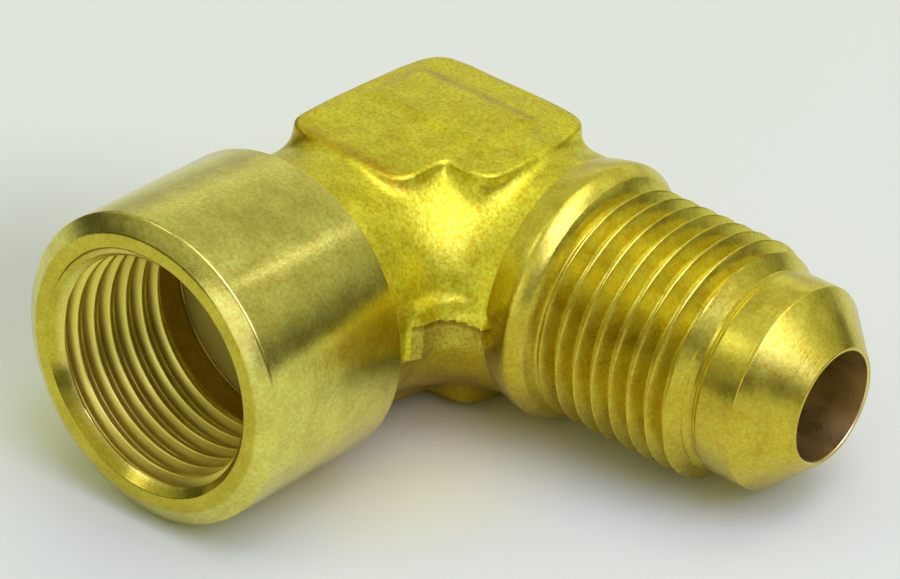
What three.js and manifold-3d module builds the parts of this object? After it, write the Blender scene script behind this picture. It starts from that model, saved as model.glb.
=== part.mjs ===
// Brass 90 degree elbow fitting: 45 degree male flare end to tapered female pipe thread.
// One forged and machined body. Millimetres, +Z up.
// Elbow frame: the two port axes cross at its origin, the flare port runs along +X and the pipe
// port along -Y. The finished body is shifted so that the middle of its footprint is the origin.
import * as THREE from 'three';
import { mergeVertices } from 'three/addons/utils/BufferGeometryUtils.js';
import Module from 'manifold-3d';

// Threads: both ends have 18 threads per inch
const PITCH = 25.4 / 18;

// Pipe port (distances run from the crossing of the axes to the pipe face)
const PIPE_FACE = 27.95;
const PIPE_COLLAR_RADIUS = 10.3;
const PIPE_COLLAR_BACK = 15.65;
const PIPE_CHAMFER_LENGTH = 0.75;
const PIPE_CHAMFER_DEPTH = 1.15;
const PIPE_NECK_RADIUS = 8.5;
const PIPE_MOUTH_RADIUS = 8.22;
const PIPE_MOUTH_DEPTH = 0.75;
const PIPE_CREST_RADIUS = 7.42;
const PIPE_ROOT_DEPTH = 0.8;
const PIPE_TAPER = 1 / 32;
const PIPE_THREAD_END = 18.1;
const PIPE_RELIEF_RADIUS = 7.95;
const PIPE_SHOULDER = 16.1;
const PIPE_PASSAGE_RADIUS = 4.4;

// Flare port (distances run from the crossing of the axes to the nose)
const FLARE_NOSE = 32.04;
const FLARE_NECK_RADIUS = 8.2;
const FLARE_COLLAR_START = 10.7;
const FLARE_COLLAR_RADIUS = 8.87;
const THREAD_START = 14.3;
const THREAD_RADIUS = 7.94;
const THREAD_ROOT_DEPTH = 0.86;
const THREAD_END = 24.85;
const RELIEF_RADIUS = 6.62;
const RELIEF_START = 25.75;
const HEAD_START = 26.45;
const HEAD_RADIUS = 6.88;
const CONE_START = 29.1;
const FLARE_BORE_RADIUS = 3.73;

// Forged middle
const PAD_HEIGHT = 8.8;
const PAD_BEVEL = 1.3;
const PAD_SLOPE = 0.5;
const PAD_OUTLINE = [
  [-3.3, 4.6], [6.8, 4.3], [8.1, 3.1], [8.3, -4.5], [7.6, -5.5],
  [4.9, -5.7], [4.4, -6.5], [4.3, -8.8], [3.7, -9.5], [-3.8, -9.4], [-4.8, -8.3], [-4.8, 2.2],
];
const PANEL_OUTLINE = [[-3.6, 1.7], [6.0, 1.7], [6.0, -3.4], [-3.6, -3.4]];
const PANEL_RAISE = 0.25;
const BEND_CENTRE_RADIUS = 11.6;
const BEND_TUBE_RADIUS = 8.4;
const PARTING_PROUD = 0.3;
const PARTING_HALF_HEIGHT = 0.75;

const wasm = await Module();
wasm.setup();

function signedVolume(position, index) {
  const a = new THREE.Vector3();
  const b = new THREE.Vector3();
  const c = new THREE.Vector3();
  let volume = 0;
  for (let i = 0; i < index.length; i += 3) {
    a.fromBufferAttribute(position, index[i]);
    b.fromBufferAttribute(position, index[i + 1]);
    c.fromBufferAttribute(position, index[i + 2]);
    volume += a.dot(b.cross(c)) / 6;
  }
  return volume;
}

// Closed three.js geometry to a solid, with its faces turned outwards
function solid(geometry) {
  const bare = geometry.clone();
  bare.deleteAttribute('normal');
  bare.deleteAttribute('uv');
  const merged = mergeVertices(bare, 1e-4);
  const index = Array.from(merged.index.array);
  if (signedVolume(merged.attributes.position, index) < 0) index.reverse();
  const kept = [];
  for (let i = 0; i < index.length; i += 3) {
    const [p, q, r] = [index[i], index[i + 1], index[i + 2]];
    if (p !== q && q !== r && r !== p) kept.push(p, q, r);
  }
  const mesh = new wasm.Mesh({
    numProp: 3,
    vertProperties: new Float32Array(merged.attributes.position.array),
    triVerts: new Uint32Array(kept),
  });
  return new wasm.Manifold(mesh);
}

function toGeometry(manifold) {
  const mesh = manifold.getMesh();
  const geometry = new THREE.BufferGeometry();
  geometry.setAttribute('position', new THREE.BufferAttribute(mesh.vertProperties, 3));
  geometry.setIndex(new THREE.BufferAttribute(mesh.triVerts, 1));
  geometry.computeVertexNormals();
  return geometry;
}

// Profiles are lists of [radius, distance from the crossing], starting and ending on the axis
function turnedForFlare(profile, segments) {
  const points = profile.map(([radius, along]) => new THREE.Vector2(radius, along));
  return solid(new THREE.LatheGeometry(points, segments).rotateZ(-Math.PI / 2));
}

function turnedForPipe(profile, segments) {
  const points = profile.map(([radius, along]) => new THREE.Vector2(radius, along));
  return solid(new THREE.LatheGeometry(points, segments).rotateZ(Math.PI));
}

// Helix along an axis, with frames that keep a thread profile square to that axis.
// radiusAt(turn) gives the radius after a number of turns.
class ThreadPath extends THREE.Curve {
  constructor(axis, side, start, turns, radiusAt) {
    super();
    this.axis = axis;
    this.side = side;
    this.up = new THREE.Vector3(0, 0, 1);
    this.start = start;
    this.turns = turns;
    this.radiusAt = radiusAt;
  }

  radial(t) {
    const angle = t * this.turns * 2 * Math.PI;
    const across = this.side.clone().multiplyScalar(Math.cos(angle));
    return across.addScaledVector(this.up, Math.sin(angle));
  }

  getPoint(t) {
    const turn = t * this.turns;
    const point = this.radial(t).multiplyScalar(this.radiusAt(turn));
    return point.addScaledVector(this.axis, this.start + turn * PITCH);
  }

  computeFrenetFrames(steps) {
    const frames = { tangents: [], normals: [], binormals: [] };
    for (let i = 0; i <= steps; i += 1) {
      const normal = this.radial(i / steps);
      frames.normals.push(normal);
      frames.binormals.push(this.axis.clone());
      frames.tangents.push(normal.clone().cross(this.axis));
    }
    return frames;
  }
}

// V groove tool: a trapezoid of given root and mouth widths, root on the path, mouth towards
// the free side of the surface
function grooveTool(path, depth, rootWidth, mouthWidth, stepsPerTurn) {
  const shape = new THREE.Shape([
    new THREE.Vector2(0, -rootWidth / 2),
    new THREE.Vector2(depth, -mouthWidth / 2),
    new THREE.Vector2(depth, mouthWidth / 2),
    new THREE.Vector2(0, rootWidth / 2),
  ]);
  const steps = Math.round(path.turns * stepsPerTurn);
  return solid(new THREE.ExtrudeGeometry(shape, { steps, bevelEnabled: false, extrudePath: path }));
}

function flareGroove() {
  const turns = (THREAD_END + 1.2 - THREAD_START) / PITCH;
  const root = THREAD_RADIUS - THREAD_ROOT_DEPTH;
  const runOut = 0.6;
  const radiusAt = (turn) => root + Math.max(0, 1 - turn / runOut) * (THREAD_ROOT_DEPTH + 0.2);
  const axis = new THREE.Vector3(1, 0, 0);
  const side = new THREE.Vector3(0, 1, 0);
  const path = new ThreadPath(axis, side, THREAD_START, turns, radiusAt);
  return grooveTool(path, THREAD_ROOT_DEPTH + 0.1, 0.22, 1.33, 24);
}

function pipeGroove() {
  const start = PIPE_THREAD_END - 1.0;
  const turns = (PIPE_FACE + 1.0 - start) / PITCH;
  const taperedRoot = (along) => PIPE_CREST_RADIUS + PIPE_ROOT_DEPTH - PIPE_TAPER * (PIPE_FACE - along);
  const radiusAt = (turn) => taperedRoot(start + turn * PITCH);
  const axis = new THREE.Vector3(0, -1, 0);
  const side = new THREE.Vector3(-1, 0, 0);
  const path = new ThreadPath(axis, side, start, turns, radiusAt);
  return grooveTool(path, -PIPE_ROOT_DEPTH - 0.1, 0.22, 1.3, 24);
}

function flareOuter() {
  return turnedForFlare([
    [0, 0], [FLARE_NECK_RADIUS, 0], [FLARE_NECK_RADIUS, FLARE_COLLAR_START],
    [FLARE_COLLAR_RADIUS - 0.1, 12.2], [FLARE_COLLAR_RADIUS, 12.7], [FLARE_COLLAR_RADIUS - 0.12, 13.2],
    [THREAD_RADIUS, THREAD_START], [THREAD_RADIUS, THREAD_END], [RELIEF_RADIUS, RELIEF_START],
    [RELIEF_RADIUS, HEAD_START - 0.2], [HEAD_RADIUS, HEAD_START], [HEAD_RADIUS, CONE_START],
    [HEAD_RADIUS - (FLARE_NOSE - CONE_START), FLARE_NOSE], [0, FLARE_NOSE],
  ], 36);
}

function pipeOuter() {
  return turnedForPipe([
    [0, 0], [PIPE_NECK_RADIUS, 0], [PIPE_NECK_RADIUS, PIPE_COLLAR_BACK],
    [PIPE_COLLAR_RADIUS, PIPE_COLLAR_BACK],
    [PIPE_COLLAR_RADIUS, PIPE_FACE - PIPE_CHAMFER_LENGTH],
    [PIPE_COLLAR_RADIUS - PIPE_CHAMFER_DEPTH, PIPE_FACE], [0, PIPE_FACE],
  ], 48);
}

function flareBore() {
  const r = FLARE_BORE_RADIUS;
  return turnedForFlare([[0, -3.2], [r, -1], [r, FLARE_NOSE + 1], [0, FLARE_NOSE + 1]], 24);
}

function pipeBore() {
  const endCrest = PIPE_CREST_RADIUS - PIPE_TAPER * (PIPE_FACE - PIPE_THREAD_END);
  return turnedForPipe([
    [0, -3.6], [PIPE_PASSAGE_RADIUS, -1], [PIPE_PASSAGE_RADIUS, PIPE_SHOULDER],
    [PIPE_RELIEF_RADIUS, PIPE_SHOULDER], [PIPE_RELIEF_RADIUS, PIPE_THREAD_END],
    [endCrest, PIPE_THREAD_END + 0.5], [PIPE_CREST_RADIUS, PIPE_FACE - PIPE_MOUTH_DEPTH],
    [PIPE_MOUTH_RADIUS, PIPE_FACE], [PIPE_MOUTH_RADIUS, PIPE_FACE + 1], [0, PIPE_FACE + 1],
  ], 36);
}

function outlineShape(outline) {
  return new THREE.Shape(outline.map(([x, y]) => new THREE.Vector2(x, y)));
}

// Square pads above and below, made as one block through the middle
function padBlock() {
  const options = {
    depth: 2 * (PAD_HEIGHT - PAD_BEVEL),
    bevelEnabled: true,
    bevelThickness: PAD_BEVEL,
    bevelSize: PAD_SLOPE,
    bevelSegments: 3,
  };
  const block = new THREE.ExtrudeGeometry(outlineShape(PAD_OUTLINE), options);
  return solid(block.translate(0, 0, -(PAD_HEIGHT - PAD_BEVEL)));
}

function panelBlock() {
  const height = 2 * (PAD_HEIGHT + PANEL_RAISE);
  const options = { depth: height, bevelEnabled: false };
  const block = new THREE.ExtrudeGeometry(outlineShape(PANEL_OUTLINE), options);
  return solid(block.translate(0, 0, -height / 2));
}

// Quarter bend that joins the necks and leaves a saddle in the inner corner
class BendPath extends THREE.Curve {
  getPoint(t) {
    const angle = Math.PI - t * Math.PI / 2;
    const across = BEND_CENTRE_RADIUS * Math.cos(angle);
    const along = BEND_CENTRE_RADIUS * Math.sin(angle);
    return new THREE.Vector3(BEND_CENTRE_RADIUS + across, along - BEND_CENTRE_RADIUS, 0);
  }
}

function bend() {
  const shape = new THREE.Shape().absarc(0, 0, BEND_TUBE_RADIUS, 0, 2 * Math.PI, false);
  const options = { steps: 12, curveSegments: 18, bevelEnabled: false, extrudePath: new BendPath() };
  return solid(new THREE.ExtrudeGeometry(shape, options));
}

// Trimmed land on the parting plane, a little proud of the saddle
function partingLand() {
  const inner = BEND_CENTRE_RADIUS - BEND_TUBE_RADIUS;
  const centre = BEND_CENTRE_RADIUS + PARTING_PROUD / 2;
  const shape = new THREE.Shape();
  shape.moveTo(0, 0);
  shape.lineTo(0, -centre);
  shape.lineTo(centre - inner, -centre);
  shape.absarc(centre, -centre, inner, Math.PI, Math.PI / 2, true);
  shape.lineTo(centre, 0);
  const options = { depth: 2 * PARTING_HALF_HEIGHT, bevelEnabled: false, curveSegments: 8 };
  const land = new THREE.ExtrudeGeometry(shape, options);
  return solid(land.translate(0, 0, -PARTING_HALF_HEIGHT));
}

function forgedMiddle() {
  const ball = solid(new THREE.SphereGeometry(PIPE_NECK_RADIUS, 24, 12).rotateX(Math.PI / 2));
  return ball.add(bend()).add(padBlock()).add(panelBlock()).add(partingLand());
}

function elbowBody() {
  const outside = forgedMiddle().add(flareOuter()).add(pipeOuter());
  const bored = outside.subtract(flareBore()).subtract(pipeBore());
  return bored.subtract(flareGroove()).subtract(pipeGroove());
}

const brass = new THREE.MeshStandardMaterial({ color: 0xb5a642, roughness: 0.35, metalness: 1 });
const body = new THREE.Mesh(toGeometry(elbowBody()), brass);
body.name = 'elbow_body';
body.position.set(
  (PIPE_COLLAR_RADIUS - FLARE_NOSE) / 2,
  (PIPE_FACE - FLARE_COLLAR_RADIUS) / 2,
  PIPE_COLLAR_RADIUS,
);

const fitting = new THREE.Group();
fitting.add(body);

export default fitting;
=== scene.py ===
import math

import bpy
import numpy as np
from mathutils import Matrix, Vector


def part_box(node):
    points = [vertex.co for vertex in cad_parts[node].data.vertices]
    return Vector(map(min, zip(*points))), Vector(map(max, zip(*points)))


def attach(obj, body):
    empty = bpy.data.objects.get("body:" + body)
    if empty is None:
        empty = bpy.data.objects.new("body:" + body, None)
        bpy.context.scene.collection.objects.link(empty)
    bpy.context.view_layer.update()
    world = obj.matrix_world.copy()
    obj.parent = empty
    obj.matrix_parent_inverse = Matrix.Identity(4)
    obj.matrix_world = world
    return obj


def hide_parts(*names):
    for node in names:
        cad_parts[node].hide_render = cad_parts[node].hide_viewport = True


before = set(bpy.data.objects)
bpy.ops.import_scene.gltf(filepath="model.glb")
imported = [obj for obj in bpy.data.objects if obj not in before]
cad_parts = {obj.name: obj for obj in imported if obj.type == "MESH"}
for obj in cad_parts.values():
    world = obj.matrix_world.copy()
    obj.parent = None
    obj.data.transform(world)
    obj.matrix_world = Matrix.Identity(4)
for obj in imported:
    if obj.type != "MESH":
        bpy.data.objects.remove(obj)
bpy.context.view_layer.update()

MM = 0.001

# Elbow frame, in millimetres: the port axes cross at its origin, flare port along +X, pipe port along -Y
PIPE_COLLAR_RADIUS = 10.3
PIPE_COLLAR_BACK = 15.65
PIPE_FACE = 27.95
PIPE_NECK_RADIUS = 8.5
FLARE_COLLAR_BACK = 10.6
FLARE_NECK_RADIUS = 8.2
FLARE_BORE_RADIUS = 3.73
PITCH = 25.4 / 18

LOWEST = np.array(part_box("elbow_body")[0])
CROSSING = LOWEST + MM * np.array([PIPE_COLLAR_RADIUS, PIPE_FACE, PIPE_COLLAR_RADIUS])

# Resting plane of the fitting: collar's back edge, pad corner and flare collar touch the floor
FLOOR_UP = Vector((-0.0458, -0.0540, 0.9975)).normalized()
FLOOR_POINT = Vector((0.0, -15.65, -10.32))


# ---------------------------------------------------------------- distance fields, forged middle

def smooth_min(a, b, k):
    """Smaller of two fields, blended over a width k."""
    h = np.clip(0.5 + 0.5 * (b - a) / k, 0.0, 1.0)
    return b + (a - b) * h - k * h * (1.0 - h)


def smooth_max(a, b, k):
    return -smooth_min(-a, -b, k)


def polygon_distance(x, y, points):
    """Signed distance to a polygon, negative inside."""
    d = np.full(x.shape, 1e9)
    inside = np.zeros(x.shape, bool)
    n = len(points)
    for i in range(n):
        ax, ay = points[i]
        bx, by = points[(i + 1) % n]
        ex, ey = bx - ax, by - ay
        wx, wy = x - ax, y - ay
        t = np.clip((wx * ex + wy * ey) / (ex * ex + ey * ey), 0.0, 1.0)
        d = np.minimum(d, (wx - ex * t) ** 2 + (wy - ey * t) ** 2)
        crosses = (ay > y) != (by > y)
        slope = (bx - ax) * (y - ay) / (by - ay if by != ay else 1e-9) + ax
        inside ^= crosses & (x < slope)
    d = np.sqrt(d)
    return np.where(inside, -d, d)


def softened(points):
    """Outline with its corners cut twice."""
    for _ in range(2):
        ring = []
        for (ax, ay), (bx, by) in zip(points, points[1:] + points[:1]):
            ring.append((0.75 * ax + 0.25 * bx, 0.75 * ay + 0.25 * by))
            ring.append((0.25 * ax + 0.75 * bx, 0.25 * ay + 0.75 * by))
        points = ring
    return points


PAD_TOP = 8.95
PAD_INSET = 0.25
PAD_DRAFT = 0.1
PAD_OUTLINE = softened([
    (-5.0, -1.4), (-4.85, 1.8), (-4.4, 4.1), (-3.0, 4.85), (0.5, 4.75), (4.0, 4.7),
    (6.6, 4.45), (7.8, 4.0), (8.3, 3.1), (8.4, -2.0), (8.25, -4.3), (7.9, -5.1),
    (7.2, -5.5), (6.2, -5.6), (5.3, -5.5), (4.75, -5.7), (4.5, -6.4), (4.45, -7.6),
    (4.3, -8.7), (3.8, -9.4), (2.9, -9.65), (-3.6, -9.5), (-4.7, -9.1), (-5.0, -8.2),
])
PANEL = (-3.6, 6.0, -3.4, 1.7)
PANEL_HEIGHT = 0.22
PANEL_SLOPE = 1.1

BEND_CENTRE = 11.6
BALL_RADIUS = 8.4
JOIN_BLEND = 0.6
PAD_BLEND = 0.9

LAND_BOTTOM = -1.65
LAND_CORNER = 13.2

FORGED_PIPE_END = 15.92
FORGED_FLARE_END = 11.25
PIPE_PASSAGE_RADIUS = 4.4
FLARE_PASSAGE_RADIUS = 3.78
DRILL_POINT_SLOPE = 1.7


def bare_body(x, y, z):
    """Necks, bend and outer ball, without pads."""
    neck_pipe = np.maximum(np.hypot(x, z) - PIPE_NECK_RADIUS, y)
    neck_flare = np.maximum(np.hypot(y, z) - FLARE_NECK_RADIUS, -x)
    ball = np.sqrt(x * x + y * y + z * z) - BALL_RADIUS
    u, v = BEND_CENTRE - x, y + BEND_CENTRE
    rho = np.hypot(u, v)
    turn = np.clip(np.arctan2(v, u) / (math.pi / 2), 0.0, 1.0)
    bend_radius = PIPE_NECK_RADIUS - (PIPE_NECK_RADIUS - FLARE_NECK_RADIUS) * turn
    bend = np.hypot(rho - BEND_CENTRE, z) - bend_radius
    bend = np.maximum(bend, np.maximum(-u, -v))
    d = smooth_min(neck_pipe, neck_flare, JOIN_BLEND)
    d = smooth_min(d, ball, JOIN_BLEND)
    return np.minimum(d, bend)


def pad(x, y, z):
    """Both pads: drafted sides, a raised panel, and a top that leans down towards its edges."""
    height = np.abs(z)
    side = polygon_distance(x, y, PAD_OUTLINE) - PAD_INSET
    draft = (side - PAD_DRAFT * np.clip(PAD_TOP - height, 0, 4)) * 0.995
    x0, x1, y0, y1 = PANEL
    panel = np.maximum(np.maximum(x0 - x, x - x1), np.maximum(y0 - y, y - y1))
    lift = np.clip(0.5 - panel / PANEL_SLOPE, 0.0, 1.0)
    lift = PANEL_HEIGHT * lift * lift * (3 - 2 * lift)
    inner_fall = 0.042 * np.maximum(x - y - 3.0, 0.0) + 0.0035 * np.maximum(-2.5 - y, 0.0) ** 2
    outer_fall = 0.003 * (np.maximum(y - 1.0, 0.0) ** 2 + np.maximum(-1.0 - x, 0.0) ** 2)
    top = height - (PAD_TOP + lift - inner_fall - outer_fall)
    rim = 0.3 + 0.5 * np.clip((y - x) * 0.12 + 0.5, 0.0, 1.0)
    return smooth_max(draft, top, rim)


def land_edge(x, y):
    """Height of the trimmed edge, which falls towards the flare end."""
    return np.clip(0.3 - 0.2 * (x + y) / math.sqrt(2), -0.05, 0.7)


def parting_land(x, y, z):
    """Trimmed flash on the parting plane: flares out from above, ends square below."""
    flat = bare_body(x, y, np.zeros_like(z))
    inner = np.clip((x - y - 6.0) * 0.1, 0.0, 1.0)
    proud = 0.1 + 0.5 * inner * np.clip(y + LAND_CORNER, 0.0, 1.0)
    above = z - land_edge(x, y)
    flash = smooth_max(flat - proud + 0.5 * np.maximum(above, 0.0), above - 1.0, 0.5)
    return smooth_max(flash, LAND_BOTTOM - z, 0.1)


def drilled(across, along, radius):
    """Straight passage that ends in a drill point one millimetre past the other port's axis."""
    end = np.clip(radius - (along - 1.0) * DRILL_POINT_SLOPE, -1, radius)
    return across - np.where(along < 1.0, radius, end)


def forged(x, y, z):
    """Forged middle, trimmed flat inside both collars, with its passages."""
    d = smooth_min(bare_body(x, y, z), pad(x, y, z), PAD_BLEND)
    blend = 0.1 + 0.9 * np.clip(z - 0.5, 0.0, 1.0)
    d = smooth_min(d, parting_land(x, y, z), blend)
    d = np.maximum(d, -FORGED_PIPE_END - y)
    d = np.maximum(d, x - FORGED_FLARE_END)
    bore_pipe = drilled(np.hypot(x, z), y, PIPE_PASSAGE_RADIUS)
    bore_flare = drilled(np.hypot(y, z), -x, FLARE_PASSAGE_RADIUS)
    return np.maximum(d, -np.minimum(bore_pipe, bore_flare))


def surface_nets(field, low, high, step):
    """Quad mesh of field = 0, one vertex in each cell that the surface crosses."""
    axes = [np.arange(a, b + step, step) for a, b in zip(low, high)]
    X, Y, Z = np.meshgrid(*axes, indexing="ij")
    value = field(X, Y, Z)
    inside = value < 0
    nx, ny, nz = (len(a) - 1 for a in axes)
    total = np.zeros((nx, ny, nz, 3))
    count = np.zeros((nx, ny, nz))
    corners = [(i, j, k) for i in (0, 1) for j in (0, 1) for k in (0, 1)]
    for a in corners:
        for axis in range(3):
            if a[axis]:
                continue
            b = list(a)
            b[axis] = 1
            va = value[a[0]:a[0] + nx, a[1]:a[1] + ny, a[2]:a[2] + nz]
            vb = value[b[0]:b[0] + nx, b[1]:b[1] + ny, b[2]:b[2] + nz]
            cross = (va < 0) != (vb < 0)
            t = np.where(cross, va / np.where(cross, va - vb, 1.0), 0.0)
            for c in range(3):
                total[..., c] += np.where(cross, a[c] + (t if c == axis else 0.0), 0.0)
            count += cross
    active = count > 0
    index = np.full(active.shape, -1)
    index[active] = np.arange(active.sum())
    cell = np.argwhere(active)
    offset = total[active] / count[active][:, None]
    points = np.array(low) + (cell + offset) * step
    faces = []
    for axis in range(3):
        u, v = (axis + 1) % 3, (axis + 2) % 3
        lo = [slice(1, -1)] * 3
        hi = [slice(1, -1)] * 3
        lo[axis] = slice(0, -1)
        hi[axis] = slice(1, None)
        sa, sb = inside[tuple(lo)], inside[tuple(hi)]
        for flag, order in ((sa & ~sb, 1), (~sa & sb, -1)):
            g = np.argwhere(flag)
            if len(g) == 0:
                continue
            g[:, u] += 1
            g[:, v] += 1
            ring = []
            for du, dv in ((-1, -1), (0, -1), (0, 0), (-1, 0))[::order]:
                q = g.copy()
                q[:, u] += du
                q[:, v] += dv
                ring.append(index[q[:, 0], q[:, 1], q[:, 2]])
            faces.append(np.stack(ring, 1))
    return points, np.concatenate(faces)


def pull_to_surface(points, field):
    """Newton steps along the field's gradient, each at most 0.05 mm."""
    e = 0.01
    p = points.copy()
    for _ in range(3):
        x, y, z = p.T
        f = field(x, y, z)
        g = np.stack([
            field(x + e, y, z) - field(x - e, y, z),
            field(x, y + e, z) - field(x, y - e, z),
            field(x, y, z + e) - field(x, y, z - e),
        ], 1) / (2 * e)
        size = np.maximum((g * g).sum(1), 0.2)
        move = -(f / size)[:, None] * g
        p += np.clip(move, -0.05, 0.05)
    return p


# ---------------------------------------------------------------- turned ends

AROUND = 288
ROWS_PER_PITCH = 32
FLANK_SLOPE = 1.732
TAPER = 32
MOUTH = PIPE_FACE - 0.07


def rounded(profile, radius):
    """Open profile with its inner corners rounded by short arcs."""
    out = []
    n = len(profile)
    for i in range(n):
        p = np.array(profile[i], float)
        if i in (0, n - 1):
            out.append(tuple(p))
            continue
        a = np.array(profile[i - 1], float) - p
        b = np.array(profile[i + 1], float) - p
        la, lb = np.hypot(*a), np.hypot(*b)
        cut = min(radius, 0.45 * la, 0.45 * lb)
        a, b = a / la * cut, b / lb * cut
        for t in (0.0, 0.25, 0.5, 0.75, 1.0):
            q = (1 - t) ** 2 * (p + a) + 2 * t * (1 - t) * p + t ** 2 * (p + b)
            out.append(tuple(q))
    return out


def thread_depth(phase, crest, depth, soft):
    """Depth below the crest of a 60 degree thread, for a phase in turns."""
    away = (0.5 - np.abs(phase - np.floor(phase) - 0.5)) * PITCH
    flank = smooth_max((away - crest) * FLANK_SLOPE, np.zeros_like(away), soft[0])
    return smooth_min(flank, np.full_like(away, depth), soft[1])


class Turned:
    """Closed surface of revolution; its rows may wind along a helix."""

    def __init__(self):
        self.rows = []
        self.shift = []

    def plain(self, profile):
        """Rows of one radius and one place along the axis each."""
        for r, s in profile:
            self.rows.append((np.full(AROUND, r), np.full(AROUND, s)))
            self.shift.append(0)

    def threaded(self, start, end, radius, phase0):
        """Rows that follow the helix from start to end, clipped to both."""
        turns = (end - start) / PITCH
        last = int(math.ceil(ROWS_PER_PITCH * (abs(turns) + 1)))
        sign = 1.0 if end > start else -1.0
        theta = np.arange(AROUND) / AROUND
        lo, hi = min(start, end), max(start, end)
        for k in range(last + 1):
            s = start + sign * (k / ROWS_PER_PITCH - 1.0 + theta) * PITCH
            s = np.clip(s, lo, hi)
            r = radius(s, sign * s / PITCH - theta + phase0)
            self.rows.append((r, s))
            self.shift.append(ROWS_PER_PITCH if k + ROWS_PER_PITCH <= last else last - k)

    def mesh(self, place):
        """place(radius, along, angle) gives points; rows close on each other."""
        angle = np.arange(AROUND) / AROUND * 2 * math.pi
        points = np.concatenate([place(r, s, angle) for r, s in self.rows])
        count = len(self.rows)
        faces = []
        j = np.arange(AROUND)
        for k in range(count):
            n = (k + 1) % count
            a = k * AROUND + j
            b = np.append(a[1:], (k + self.shift[k]) * AROUND)
            d = n * AROUND + j
            c = np.append(d[1:], (n + self.shift[n]) * AROUND)
            faces.append(np.stack([a, b, c, d], 1))
        return points, np.concatenate(faces)


def pipe_place(r, s, angle):
    return np.stack([r * np.cos(angle), -s, r * np.sin(angle)], 1)


def flare_place(r, s, angle):
    return np.stack([s, -r * np.cos(angle), r * np.sin(angle)], 1)


def pipe_end():
    """Collar, face and tapered internal thread of the pipe port."""
    crest_mouth, depth, mouth, mouth_depth = 7.44, 0.72, 8.22, 0.8
    relief, thread_end = 7.95, 18.1
    passage = 4.5

    def bore_radius(s, phase):
        crest = crest_mouth - (PIPE_FACE - s) / TAPER
        thread = crest + thread_depth(phase, 0.16, depth, (0.08, 0.1))
        lead = mouth - (MOUTH - s) * (mouth - crest_mouth) / mouth_depth
        run_out = relief - (s - thread_end) * 1.1
        return np.maximum(np.maximum(thread, lead), run_out)

    part = Turned()
    inside = [
        (passage, PIPE_COLLAR_BACK), (passage, 16.1), (7.8, 16.1), (relief, 16.25), (relief, thread_end),
    ]
    part.plain(rounded(inside, 0.08))
    part.threaded(thread_end, MOUTH, bore_radius, 0.18)
    outside = [
        (mouth, MOUTH), (mouth + 0.07, PIPE_FACE), (9.15, PIPE_FACE), (PIPE_COLLAR_RADIUS, 27.2),
        (PIPE_COLLAR_RADIUS, PIPE_COLLAR_BACK), (9.0, PIPE_COLLAR_BACK),
    ]
    part.plain(rounded(outside, 0.12)[1:])
    return part.mesh(pipe_place)


def flare_end():
    """Collar, external thread, round head and sealing cone of the flare port."""
    crest, depth, relief = 7.96, 1.02, 6.66
    start, end, run_in_length = 14.0, 25.9, 1.1

    def outer_radius(s, phase):
        thread = crest - thread_depth(phase, 0.0, depth, (0.1, 0.06))
        run_in = 8.25 + (start - s) * 0.9
        thread = thread + np.clip(1.0 - (s - start) / run_in_length, 0.0, 1.0) * (run_in - thread)
        run_out = relief + (end - s) * 1.15
        return np.minimum(thread, run_out)

    part = Turned()
    collar = [
        (FLARE_BORE_RADIUS, FLARE_COLLAR_BACK), (7.9, FLARE_COLLAR_BACK), (7.9, 10.95), (8.4, 11.0),
        (8.48, 11.3), (8.6, 11.8), (8.72, 12.3), (8.79, 12.7), (8.8, 13.0), (8.74, 13.2), (8.48, 13.6),
    ]
    part.plain(collar)
    part.threaded(start, end, outer_radius, 0.35)
    head = [
        (relief, end), (relief, 26.15), (6.74, 26.25), (6.74, 26.4), (6.88, 26.55), (6.88, 29.1),
        (3.98, 32.0), (3.85, 32.04), (FLARE_BORE_RADIUS, 31.95), (FLARE_BORE_RADIUS, FLARE_COLLAR_BACK),
    ]
    part.plain(rounded(head, 0.1)[1:-1])
    return part.mesh(flare_place)


def merged(points, faces):
    """Same mesh with coincident points joined and collapsed faces dropped."""
    key = np.round(points, 5)
    _, first, back = np.unique(key, axis=0, return_index=True, return_inverse=True)
    back = back.reshape(-1)
    faces = back[faces]
    clean = []
    for face in faces.tolist():
        ring = [v for i, v in enumerate(face) if v != face[i - 1]]
        if len(set(ring)) > 2 and len(set(ring)) == len(ring):
            clean.append(ring)
    return points[first], clean


def outward(points, faces):
    """Faces turned so that the closed mesh holds a positive volume."""
    volume = 0.0
    for f in faces:
        a = points[f[0]]
        for i in range(1, len(f) - 1):
            volume += np.dot(a, np.cross(points[f[i]], points[f[i + 1]]))
    return faces if volume > 0 else [f[::-1] for f in faces]


# ---------------------------------------------------------------- materials

WHITE = (1.0, 1.0, 1.0)


def node(tree, kind, **settings):
    n = tree.nodes.new(kind)
    for key, value in settings.items():
        setattr(n, key, value)
    return n


def noise(tree, vector, scale, detail=4.0, roughness=0.6):
    n = node(tree, "ShaderNodeTexNoise")
    n.inputs["Scale"].default_value = scale
    n.inputs["Detail"].default_value = detail
    n.inputs["Roughness"].default_value = roughness
    tree.links.new(vector, n.inputs["Vector"])
    return n.outputs["Fac"]


def ramp(tree, value, stops):
    n = node(tree, "ShaderNodeValToRGB")
    e = n.color_ramp.elements
    e[0].position, e[1].position = stops[0][0], stops[-1][0]
    e[0].color, e[1].color = (*stops[0][1], 1), (*stops[-1][1], 1)
    for position, color in stops[1:-1]:
        e.new(position).color = (*color, 1)
    tree.links.new(value, n.inputs["Fac"])
    return n.outputs["Color"]


def multiply(tree, a, b):
    """Product of two colours."""
    n = node(tree, "ShaderNodeMix", data_type="RGBA", blend_type="MULTIPLY")
    n.inputs[0].default_value = 1.0
    tree.links.new(a, n.inputs[6])
    tree.links.new(b, n.inputs[7])
    return n.outputs[2]


def tinted(tree, color, mask, tone):
    """Colour multiplied by a tone where the mask is one."""
    return multiply(tree, color, ramp(tree, mask, [(0.0, WHITE), (1.0, tone)]))


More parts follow.
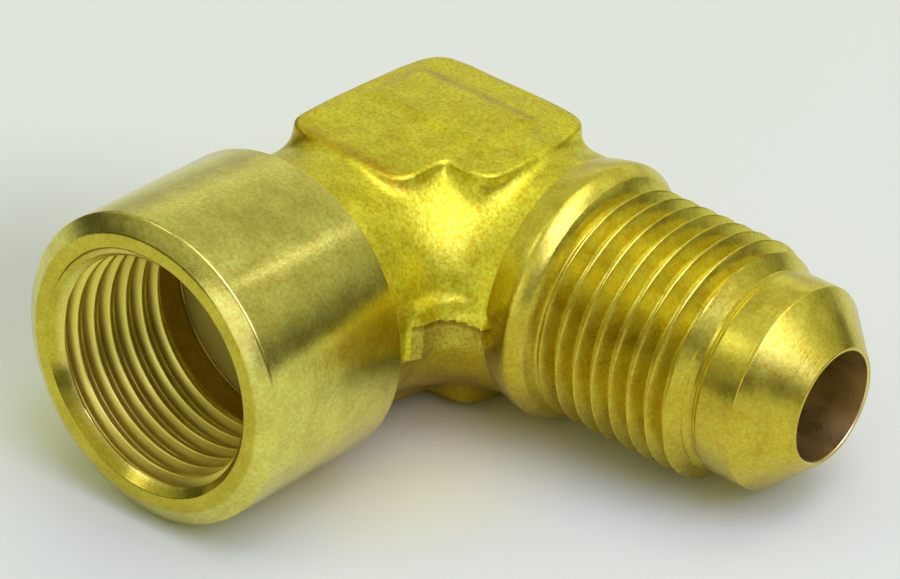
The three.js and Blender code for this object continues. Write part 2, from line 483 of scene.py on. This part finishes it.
def toward(tree, color, target, factor):
    """Colour mixed with a fixed one."""
    n = node(tree, "ShaderNodeMix", data_type="RGBA")
    n.inputs[7].default_value = (*target, 1)
    tree.links.new(factor, n.inputs[0])
    tree.links.new(color, n.inputs[6])
    return n.outputs[2]


def scaled(tree, value, share):
    n = node(tree, "ShaderNodeMath", operation="MULTIPLY")
    n.inputs[1].default_value = share
    tree.links.new(value, n.inputs[0])
    return n.outputs[0]


def plus_share(tree, value, mask, share):
    """Value plus a share of the mask."""
    n = node(tree, "ShaderNodeMath", operation="MULTIPLY_ADD")
    n.inputs[1].default_value = share
    tree.links.new(mask, n.inputs[0])
    tree.links.new(value, n.inputs[2])
    return n.outputs[0]


def map_range(tree, value, low, high, to_low, to_high):
    n = node(tree, "ShaderNodeMapRange")
    for name, number in zip(("From Min", "From Max", "To Min", "To Max"), (low, high, to_low, to_high)):
        n.inputs[name].default_value = number
    tree.links.new(value, n.inputs["Value"])
    return n.outputs["Result"]


def span_mask(tree, value, low, high):
    """Zero at low and one at high, both in millimetres."""
    return map_range(tree, value, low * MM, high * MM, 0.0, 1.0)


def product(tree, *values):
    out = values[0]
    for other in values[1:]:
        m = node(tree, "ShaderNodeMath", operation="MULTIPLY")
        tree.links.new(out, m.inputs[0])
        tree.links.new(other, m.inputs[1])
        out = m.outputs[0]
    return out


def zone(tree, *limits):
    """One where each value is past its limits; each goes from zero at the first to one at the second."""
    return product(tree, *(span_mask(tree, *limit) for limit in limits))


def bumps(tree, height, strength, distance, normal=None):
    n = node(tree, "ShaderNodeBump")
    n.inputs["Strength"].default_value = strength
    n.inputs["Distance"].default_value = distance
    tree.links.new(height, n.inputs["Height"])
    if normal is not None:
        tree.links.new(normal, n.inputs["Normal"])
    return n.outputs["Normal"]


def from_crossing(tree, place):
    """Position from the crossing of the port axes: the vector, and its three parts."""
    away = node(tree, "ShaderNodeVectorMath", operation="SUBTRACT")
    away.inputs[1].default_value = Vector(CROSSING)
    tree.links.new(place, away.inputs[0])
    split = node(tree, "ShaderNodeSeparateXYZ")
    tree.links.new(away.outputs[0], split.inputs[0])
    return away.outputs[0], split.outputs


def distance_from_axis(tree, away, axis):
    """Distance from the port axis that lies along X (0) or Y (1)."""
    flat = node(tree, "ShaderNodeVectorMath", operation="MULTIPLY")
    keep = [1, 1, 1]
    keep[axis] = 0
    flat.inputs[1].default_value = keep
    tree.links.new(away, flat.inputs[0])
    length = node(tree, "ShaderNodeVectorMath", operation="LENGTH")
    tree.links.new(flat.outputs[0], length.inputs[0])
    return length.outputs["Value"]


def pipe_painted_light_and_finish(tree, place, color, rough):
    """Pipe end: painted shade in the undercut behind the thread and in the thread root, painted light that
    makes the bore and the shoulder paler, both also rougher, and painted reflected shade, darker and more
    ochre, on the open face.
    """
    away, (_, along, _) = from_crossing(tree, place)
    radius = distance_from_axis(tree, away, 1)
    undercut_shade = zone(tree, (radius, 8.8, 8.6), (radius, 7.65, 7.8), (along, -18.8, -18.2))
    bore = zone(tree, (radius, 8.7, 8.5), (along, -27.4, -27.0), (along, -17.9, -18.5))
    root_shade = product(tree, bore, span_mask(tree, radius, 7.6, 8.0))
    shoulder = zone(tree, (radius, 7.8, 7.7), (along, -16.6, -16.3))
    face = zone(tree, (radius, 9.3, 9.15), (along, -27.3, -27.6))
    # painted shade in the undercut behind the last thread
    color = tinted(tree, color, undercut_shade, (0.34, 0.25, 0.28))
    # painted light: the bore is made paler
    color = toward(tree, color, (0.98, 0.84, 0.14), scaled(tree, bore, 0.75))
    # painted shade in the thread root
    color = tinted(tree, color, root_shade, (0.62, 0.53, 0.42))
    # painted light: the shoulder at the bottom of the bore is made paler
    color = toward(tree, color, (0.95, 0.84, 0.17), shoulder)
    # painted reflected shade: the open face is darker and more ochre
    color = tinted(tree, color, face, (0.8, 0.74, 0.35))
    rough = plus_share(tree, rough, bore, 0.16)
    rough = plus_share(tree, rough, shoulder, 0.4)
    return color, rough


def flare_painted_light_and_shade(tree, place, color, rough):
    """Flare end: painted shade, darker towards its underside, and painted light, a paler, redder bore."""
    away, (_, _, height) = from_crossing(tree, place)
    radius = distance_from_axis(tree, away, 0)
    # painted shade towards the underside
    under = span_mask(tree, height, 5.0, -3.0)
    shade = ramp(tree, under, [(0.0, WHITE), (0.5, (0.80, 0.72, 0.64)), (1.0, (0.86, 0.80, 0.74))])
    color = multiply(tree, color, shade)
    # painted light: the bore is made paler and redder
    bore = scaled(tree, span_mask(tree, radius, 3.86, 3.78), 0.8)
    return toward(tree, color, (0.93, 0.76, 0.36), bore), rough


def forged_painted_shade(tree, place, color, rough):
    """Forged middle: painted shade below the parting plane, along the far edge of the raised panel and
    along the near rim of the top pad.
    """
    _, (x, y, z) = from_crossing(tree, place)
    on_pad = (z, 7.2, 7.8)
    # painted shade, a dark reflection, along the near rim of the top pad
    rim = zone(tree, (y, -10.3, -9.9), (y, -9.0, -9.5), on_pad)
    # painted shade along the far edge of the raised panel
    panel_edge_shade = zone(tree, (y, 1.0, 1.6), (y, 2.5, 1.9), (x, -3.9, -3.3), (x, 6.3, 5.7), on_pad)
    # painted shade below the parting plane
    color = tinted(tree, color, span_mask(tree, z, -1.2, -2.4), (0.66, 0.56, 0.4))
    color = tinted(tree, color, panel_edge_shade, (0.84, 0.76, 0.6))
    return tinted(tree, color, rim, (0.86, 0.7, 0.5)), rough


def trimmed_painted_shade(tree, place, color, rough):
    """Trimmed edge: painted shade along its brink, which falls towards the flare end."""
    away, _ = from_crossing(tree, place)
    level = node(tree, "ShaderNodeVectorMath", operation="DOT_PRODUCT")
    level.inputs[1].default_value = (0.1414, 0.1414, 1.0)
    tree.links.new(away, level.inputs[0])
    # painted shade under the overhanging edge, along the brink
    brink = span_mask(tree, level.outputs["Value"], -0.05, 0.25)
    return tinted(tree, color, brink, (0.6, 0.5, 0.4)), rough


def brass(name, tones, roughness, grain, marks, turned=None, coat=0.0):
    """Brass with speckled colour, stains and fine grain.

    grain is scale, strength and depth in metres. marks adds what is special to one region, mostly painted
    light and shade, and roughness. turned is an axis and a strength, and adds tool lines around that axis.
    """
    mat = bpy.data.materials.new(name)
    mat.use_nodes = True
    t = mat.node_tree
    t.nodes.clear()
    out = node(t, "ShaderNodeOutputMaterial")
    bsdf = node(t, "ShaderNodeBsdfPrincipled")
    bsdf.inputs["Metallic"].default_value = 1.0
    bsdf.inputs["Coat Weight"].default_value = coat
    bsdf.inputs["Coat Roughness"].default_value = 0.35
    t.links.new(bsdf.outputs[0], out.inputs[0])
    place = node(t, "ShaderNodeTexCoord").outputs["Object"]

    speckle = noise(t, place, 3800.0, 3.0, 0.7)
    cloud = noise(t, place, 520.0, 5.0, 0.6)
    dark, mid, light = tones
    color = ramp(t, speckle, [(0.33, dark), (0.5, mid), (0.67, light)])
    color = multiply(t, color, ramp(t, cloud, [(0.35, (0.84, 0.8, 0.72)), (0.6, WHITE)]))
    rough = map_range(t, cloud, 0.35, 0.65, *roughness)
    color, rough = marks(t, place, color, rough)
    t.links.new(color, bsdf.inputs["Base Color"])
    t.links.new(rough, bsdf.inputs["Roughness"])

    scale, strength, depth = grain
    normal = bumps(t, noise(t, place, scale, 3.0), strength, depth)
    if turned is not None:
        axis, strength = turned
        lines = node(t, "ShaderNodeMapping")
        stretch = [40.0, 40.0, 40.0]
        stretch[axis] = 9000.0
        lines.inputs["Scale"].default_value = stretch
        t.links.new(place, lines.inputs["Vector"])
        normal = bumps(t, noise(t, lines.outputs["Vector"], 1.0, 3.0), strength, 0.00002, normal)
    t.links.new(normal, bsdf.inputs["Normal"])
    return mat


# ---------------------------------------------------------------- build the piece

FIELD_LOW = (-9.3, -16.2, -9.45)
FIELD_HIGH = (11.9, 9.3, 9.45)
FIELD_STEP = 0.17
FORGED, PIPE, FLARE, TRIMMED = range(4)


def trimmed_faces(points, faces):
    """Steep faces of the parting edge in the inner corner."""
    x, y, z = points[faces].mean(1).T
    across, along = points[faces[:, 2]] - points[faces[:, 0]], points[faces[:, 3]] - points[faces[:, 1]]
    side = np.cross(across, along)
    side /= np.linalg.norm(side, axis=1)[:, None] + 1e-12
    steep = np.abs(side[:, 2]) < 0.45
    on_edge = (z > LAND_BOTTOM - 0.05) & (z < land_edge(x, y) + 0.1)
    return steep & on_edge & (x - y > 13.0) & (y > -12.8)


def build_fitting():
    """One mesh of three closed shells: forged middle, pipe end and flare end."""
    points, faces = surface_nets(forged, FIELD_LOW, FIELD_HIGH, FIELD_STEP)
    points = pull_to_surface(points, forged)
    faces = np.array(outward(points, faces.tolist()))
    slots = np.where(trimmed_faces(points, faces), TRIMMED, FORGED)
    parts = [(points, faces.tolist(), slots)]
    for slot, (p, f) in ((PIPE, pipe_end()), (FLARE, flare_end())):
        p, f = merged(p, f)
        parts.append((p, outward(p, f), slot))
    all_points, all_faces, all_slots = [], [], []
    base = 0
    for p, f, slot in parts:
        all_points.append(p * MM + CROSSING)
        all_faces += [[v + base for v in face] for face in f]
        all_slots += np.broadcast_to(slot, len(f)).tolist()
        base += len(p)
    mesh = bpy.data.meshes.new("elbow_body_metal")
    mesh.from_pydata(np.concatenate(all_points).tolist(), [], all_faces)
    mesh.polygons.foreach_set("material_index", all_slots)
    mesh.shade_smooth()
    mesh.set_sharp_from_angle(angle=math.radians(38))
    mesh.validate()
    fitting = bpy.data.objects.new("elbow_body_metal", mesh)
    bpy.context.scene.collection.objects.link(fitting)
    return fitting


fitting = build_fitting()
for finish in (
    brass(
        "forged_brass", ((0.70, 0.51, 0.012), (0.80, 0.73, 0.025), (0.82, 0.88, 0.08)),
        (0.36, 0.48), (3000.0, 0.6, 0.00005), forged_painted_shade, coat=0.12),
    brass(
        "turned_brass_pipe", ((0.73, 0.58, 0.11), (0.78, 0.72, 0.14), (0.79, 0.84, 0.20)),
        (0.19, 0.24), (4200.0, 0.25, 0.00002), pipe_painted_light_and_finish, turned=(1, 0.3)),
    brass(
        "turned_brass_flare", ((0.76, 0.56, 0.04), (0.80, 0.70, 0.06), (0.80, 0.82, 0.11)),
        (0.25, 0.34), (4200.0, 0.4, 0.00002), flare_painted_light_and_shade, turned=(0, 0.3), coat=0.1),
    # trimmed edge: darker tones for its rough, oxidised sheared face, and partly painted shade
    brass(
        "trimmed_brass", ((0.46, 0.33, 0.04), (0.62, 0.52, 0.05), (0.70, 0.66, 0.09)),
        (0.45, 0.6), (2200.0, 0.9, 0.00008), trimmed_painted_shade),
):
    fitting.data.materials.append(finish)
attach(fitting, "root")
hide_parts("elbow_body")


# ---------------------------------------------------------------- floor, light, camera

def to_world(p):
    """Point in the elbow frame, in millimetres, to a point in the scene."""
    return p * MM + Vector(CROSSING)


def stage_floor():
    """Pale floor in the resting plane, with painted yellow bounce light under the inner corner and a
    painted shadow left of the pipe collar.
    """
    half = 1.6
    corners = [(-half, -half, 0), (half, -half, 0), (half, half, 0), (-half, half, 0)]
    mesh = bpy.data.meshes.new("floor")
    mesh.from_pydata(corners, [], [(0, 1, 2, 3)])
    floor = bpy.data.objects.new("floor", mesh)
    bpy.context.scene.collection.objects.link(floor)
    upright = FLOOR_UP.to_track_quat("Z", "Y").to_matrix().to_4x4()
    floor.matrix_world = Matrix.Translation(to_world(FLOOR_POINT)) @ upright
    mat = bpy.data.materials.new("floor_white")
    mat.use_nodes = True
    tree = mat.node_tree
    bsdf = tree.nodes["Principled BSDF"]
    place = node(tree, "ShaderNodeTexCoord").outputs["Object"]

    def fade_around(point, inner, outer):
        away = node(tree, "ShaderNodeVectorMath", operation="DISTANCE")
        tree.links.new(place, away.inputs[0])
        away.inputs[1].default_value = floor.matrix_world.inverted() @ to_world(Vector(point))
        fade = span_mask(tree, away.outputs["Value"], inner, outer)
        fade.node.interpolation_type = "SMOOTHSTEP"
        return fade

    # painted bounce light, yellower, under the inner corner
    corner = fade_around((4.0, -10.0, -9.6), 4.0, 18.0)
    painted_bounce = ramp(tree, corner, [(0.0, (0.87, 0.84, 0.38)), (1.0, (0.80, 0.84, 0.54))])
    # painted shadow left of the pipe collar
    beside = fade_around((-27.0, -12.0, -11.4), 0.0, 24.0)
    painted_shadow = ramp(tree, beside, [(0.0, (0.74, 0.75, 0.72)), (1.0, WHITE)])
    tree.links.new(multiply(tree, painted_bounce, painted_shadow), bsdf.inputs["Base Color"])
    bsdf.inputs["Roughness"].default_value = 0.75
    bsdf.inputs["Specular IOR Level"].default_value = 0.15
    mesh.materials.append(mat)


LIT_POINT = Vector((8.0, -8.0, 0.0))


def area_light(name, azimuth, elevation, distance, width, radiance, color, height=None, roll=0.0):
    """Area light of a given radiance, seen from the fitting at an azimuth (0 is -Y) and elevation.

    Distance, width and height are in metres and angles in degrees. Without a height it is square.
    """
    height = height or width
    data = bpy.data.lights.new(name, "AREA")
    data.energy = math.pi * width * height * radiance
    data.color = color
    data.shape = "RECTANGLE"
    data.size = width
    data.size_y = height
    lamp = bpy.data.objects.new(name, data)
    bpy.context.scene.collection.objects.link(lamp)
    a, e = math.radians(azimuth), math.radians(elevation)
    d = Vector((math.sin(a) * math.cos(e), -math.cos(a) * math.cos(e), math.sin(e)))
    lamp.location = to_world(LIT_POINT) + d * distance
    aim = d.to_track_quat("Z", "Y").to_matrix() @ Matrix.Rotation(math.radians(roll), 3, "Z")
    lamp.rotation_euler = aim.to_euler()


def world_light():
    """Soft surroundings, as grey levels by the sine of the height above the horizon."""
    world = bpy.data.worlds.new("studio")
    bpy.context.scene.world = world
    world.use_nodes = True
    t = world.node_tree
    t.nodes.clear()
    out = node(t, "ShaderNodeOutputWorld")
    back = node(t, "ShaderNodeBackground")
    split = node(t, "ShaderNodeSeparateXYZ")
    t.links.new(node(t, "ShaderNodeTexCoord").outputs["Generated"], split.inputs[0])
    levels = ((-0.1, 0.10), (0.08, 0.06), (0.22, 0.12), (0.42, 0.46), (0.6, 0.56))
    stops = [(0.0, (0.3, 0.3, 0.3))]
    stops += [(0.5 + 0.5 * height, (level, level, level * 0.78)) for height, level in levels]
    stops += [(1.0, (0.5, 0.5, 0.45))]
    height = map_range(t, split.outputs["Z"], -1.0, 1.0, 0.0, 1.0)
    t.links.new(ramp(t, height, stops), back.inputs["Color"])
    t.links.new(back.outputs[0], out.inputs[0])


def camera():
    """Camera at the viewing angle of the reference view."""
    data = bpy.data.cameras.new("camera")
    data.sensor_width = 36.0
    data.lens = 175.84
    cam = bpy.data.objects.new("camera", data)
    bpy.context.scene.collection.objects.link(cam)
    right = Vector((0.7658, 0.6393, 0.0701)).normalized()
    back = Vector((0.52283, -0.68225, 0.51106)).normalized()
    up = back.cross(right).normalized()
    right = up.cross(back)
    place = to_world(Vector((152.8836, -197.3844, 143.0352)))
    cam.matrix_world = Matrix((
        (right.x, up.x, back.x, place.x),
        (right.y, up.y, back.y, place.y),
        (right.z, up.z, back.z, place.z),
        (0, 0, 0, 1),
    ))
    bpy.context.scene.camera = cam


stage_floor()
world_light()
area_light("overhead", 120, 84, 0.8, 0.60, 1.25, (1.0, 1.0, 1.3))
area_light("right_window", 71, 53, 0.7, 0.46, 1.85, (1.0, 1.0, 3.0), 0.60)
area_light("right_fill", 104, 42, 0.7, 0.20, 1.1, (1.0, 1.0, 1.5))
area_light("front", -44, 44, 0.7, 0.19, 1.5, (1.0, 1.0, 1.5))
area_light("low_front", 8, 9, 0.7, 0.36, 1.1, (1.0, 1.0, 1.4))
area_light("back_left", -156, 15, 0.7, 0.88, 0.45, (1.0, 1.0, 1.0), 0.42)
area_light("back_strip", 155, 44, 0.7, 0.035, 1.7, (1.0, 1.0, 1.5), 0.20, 34)
camera()
bpy.context.scene.view_settings.view_transform = "Standard"
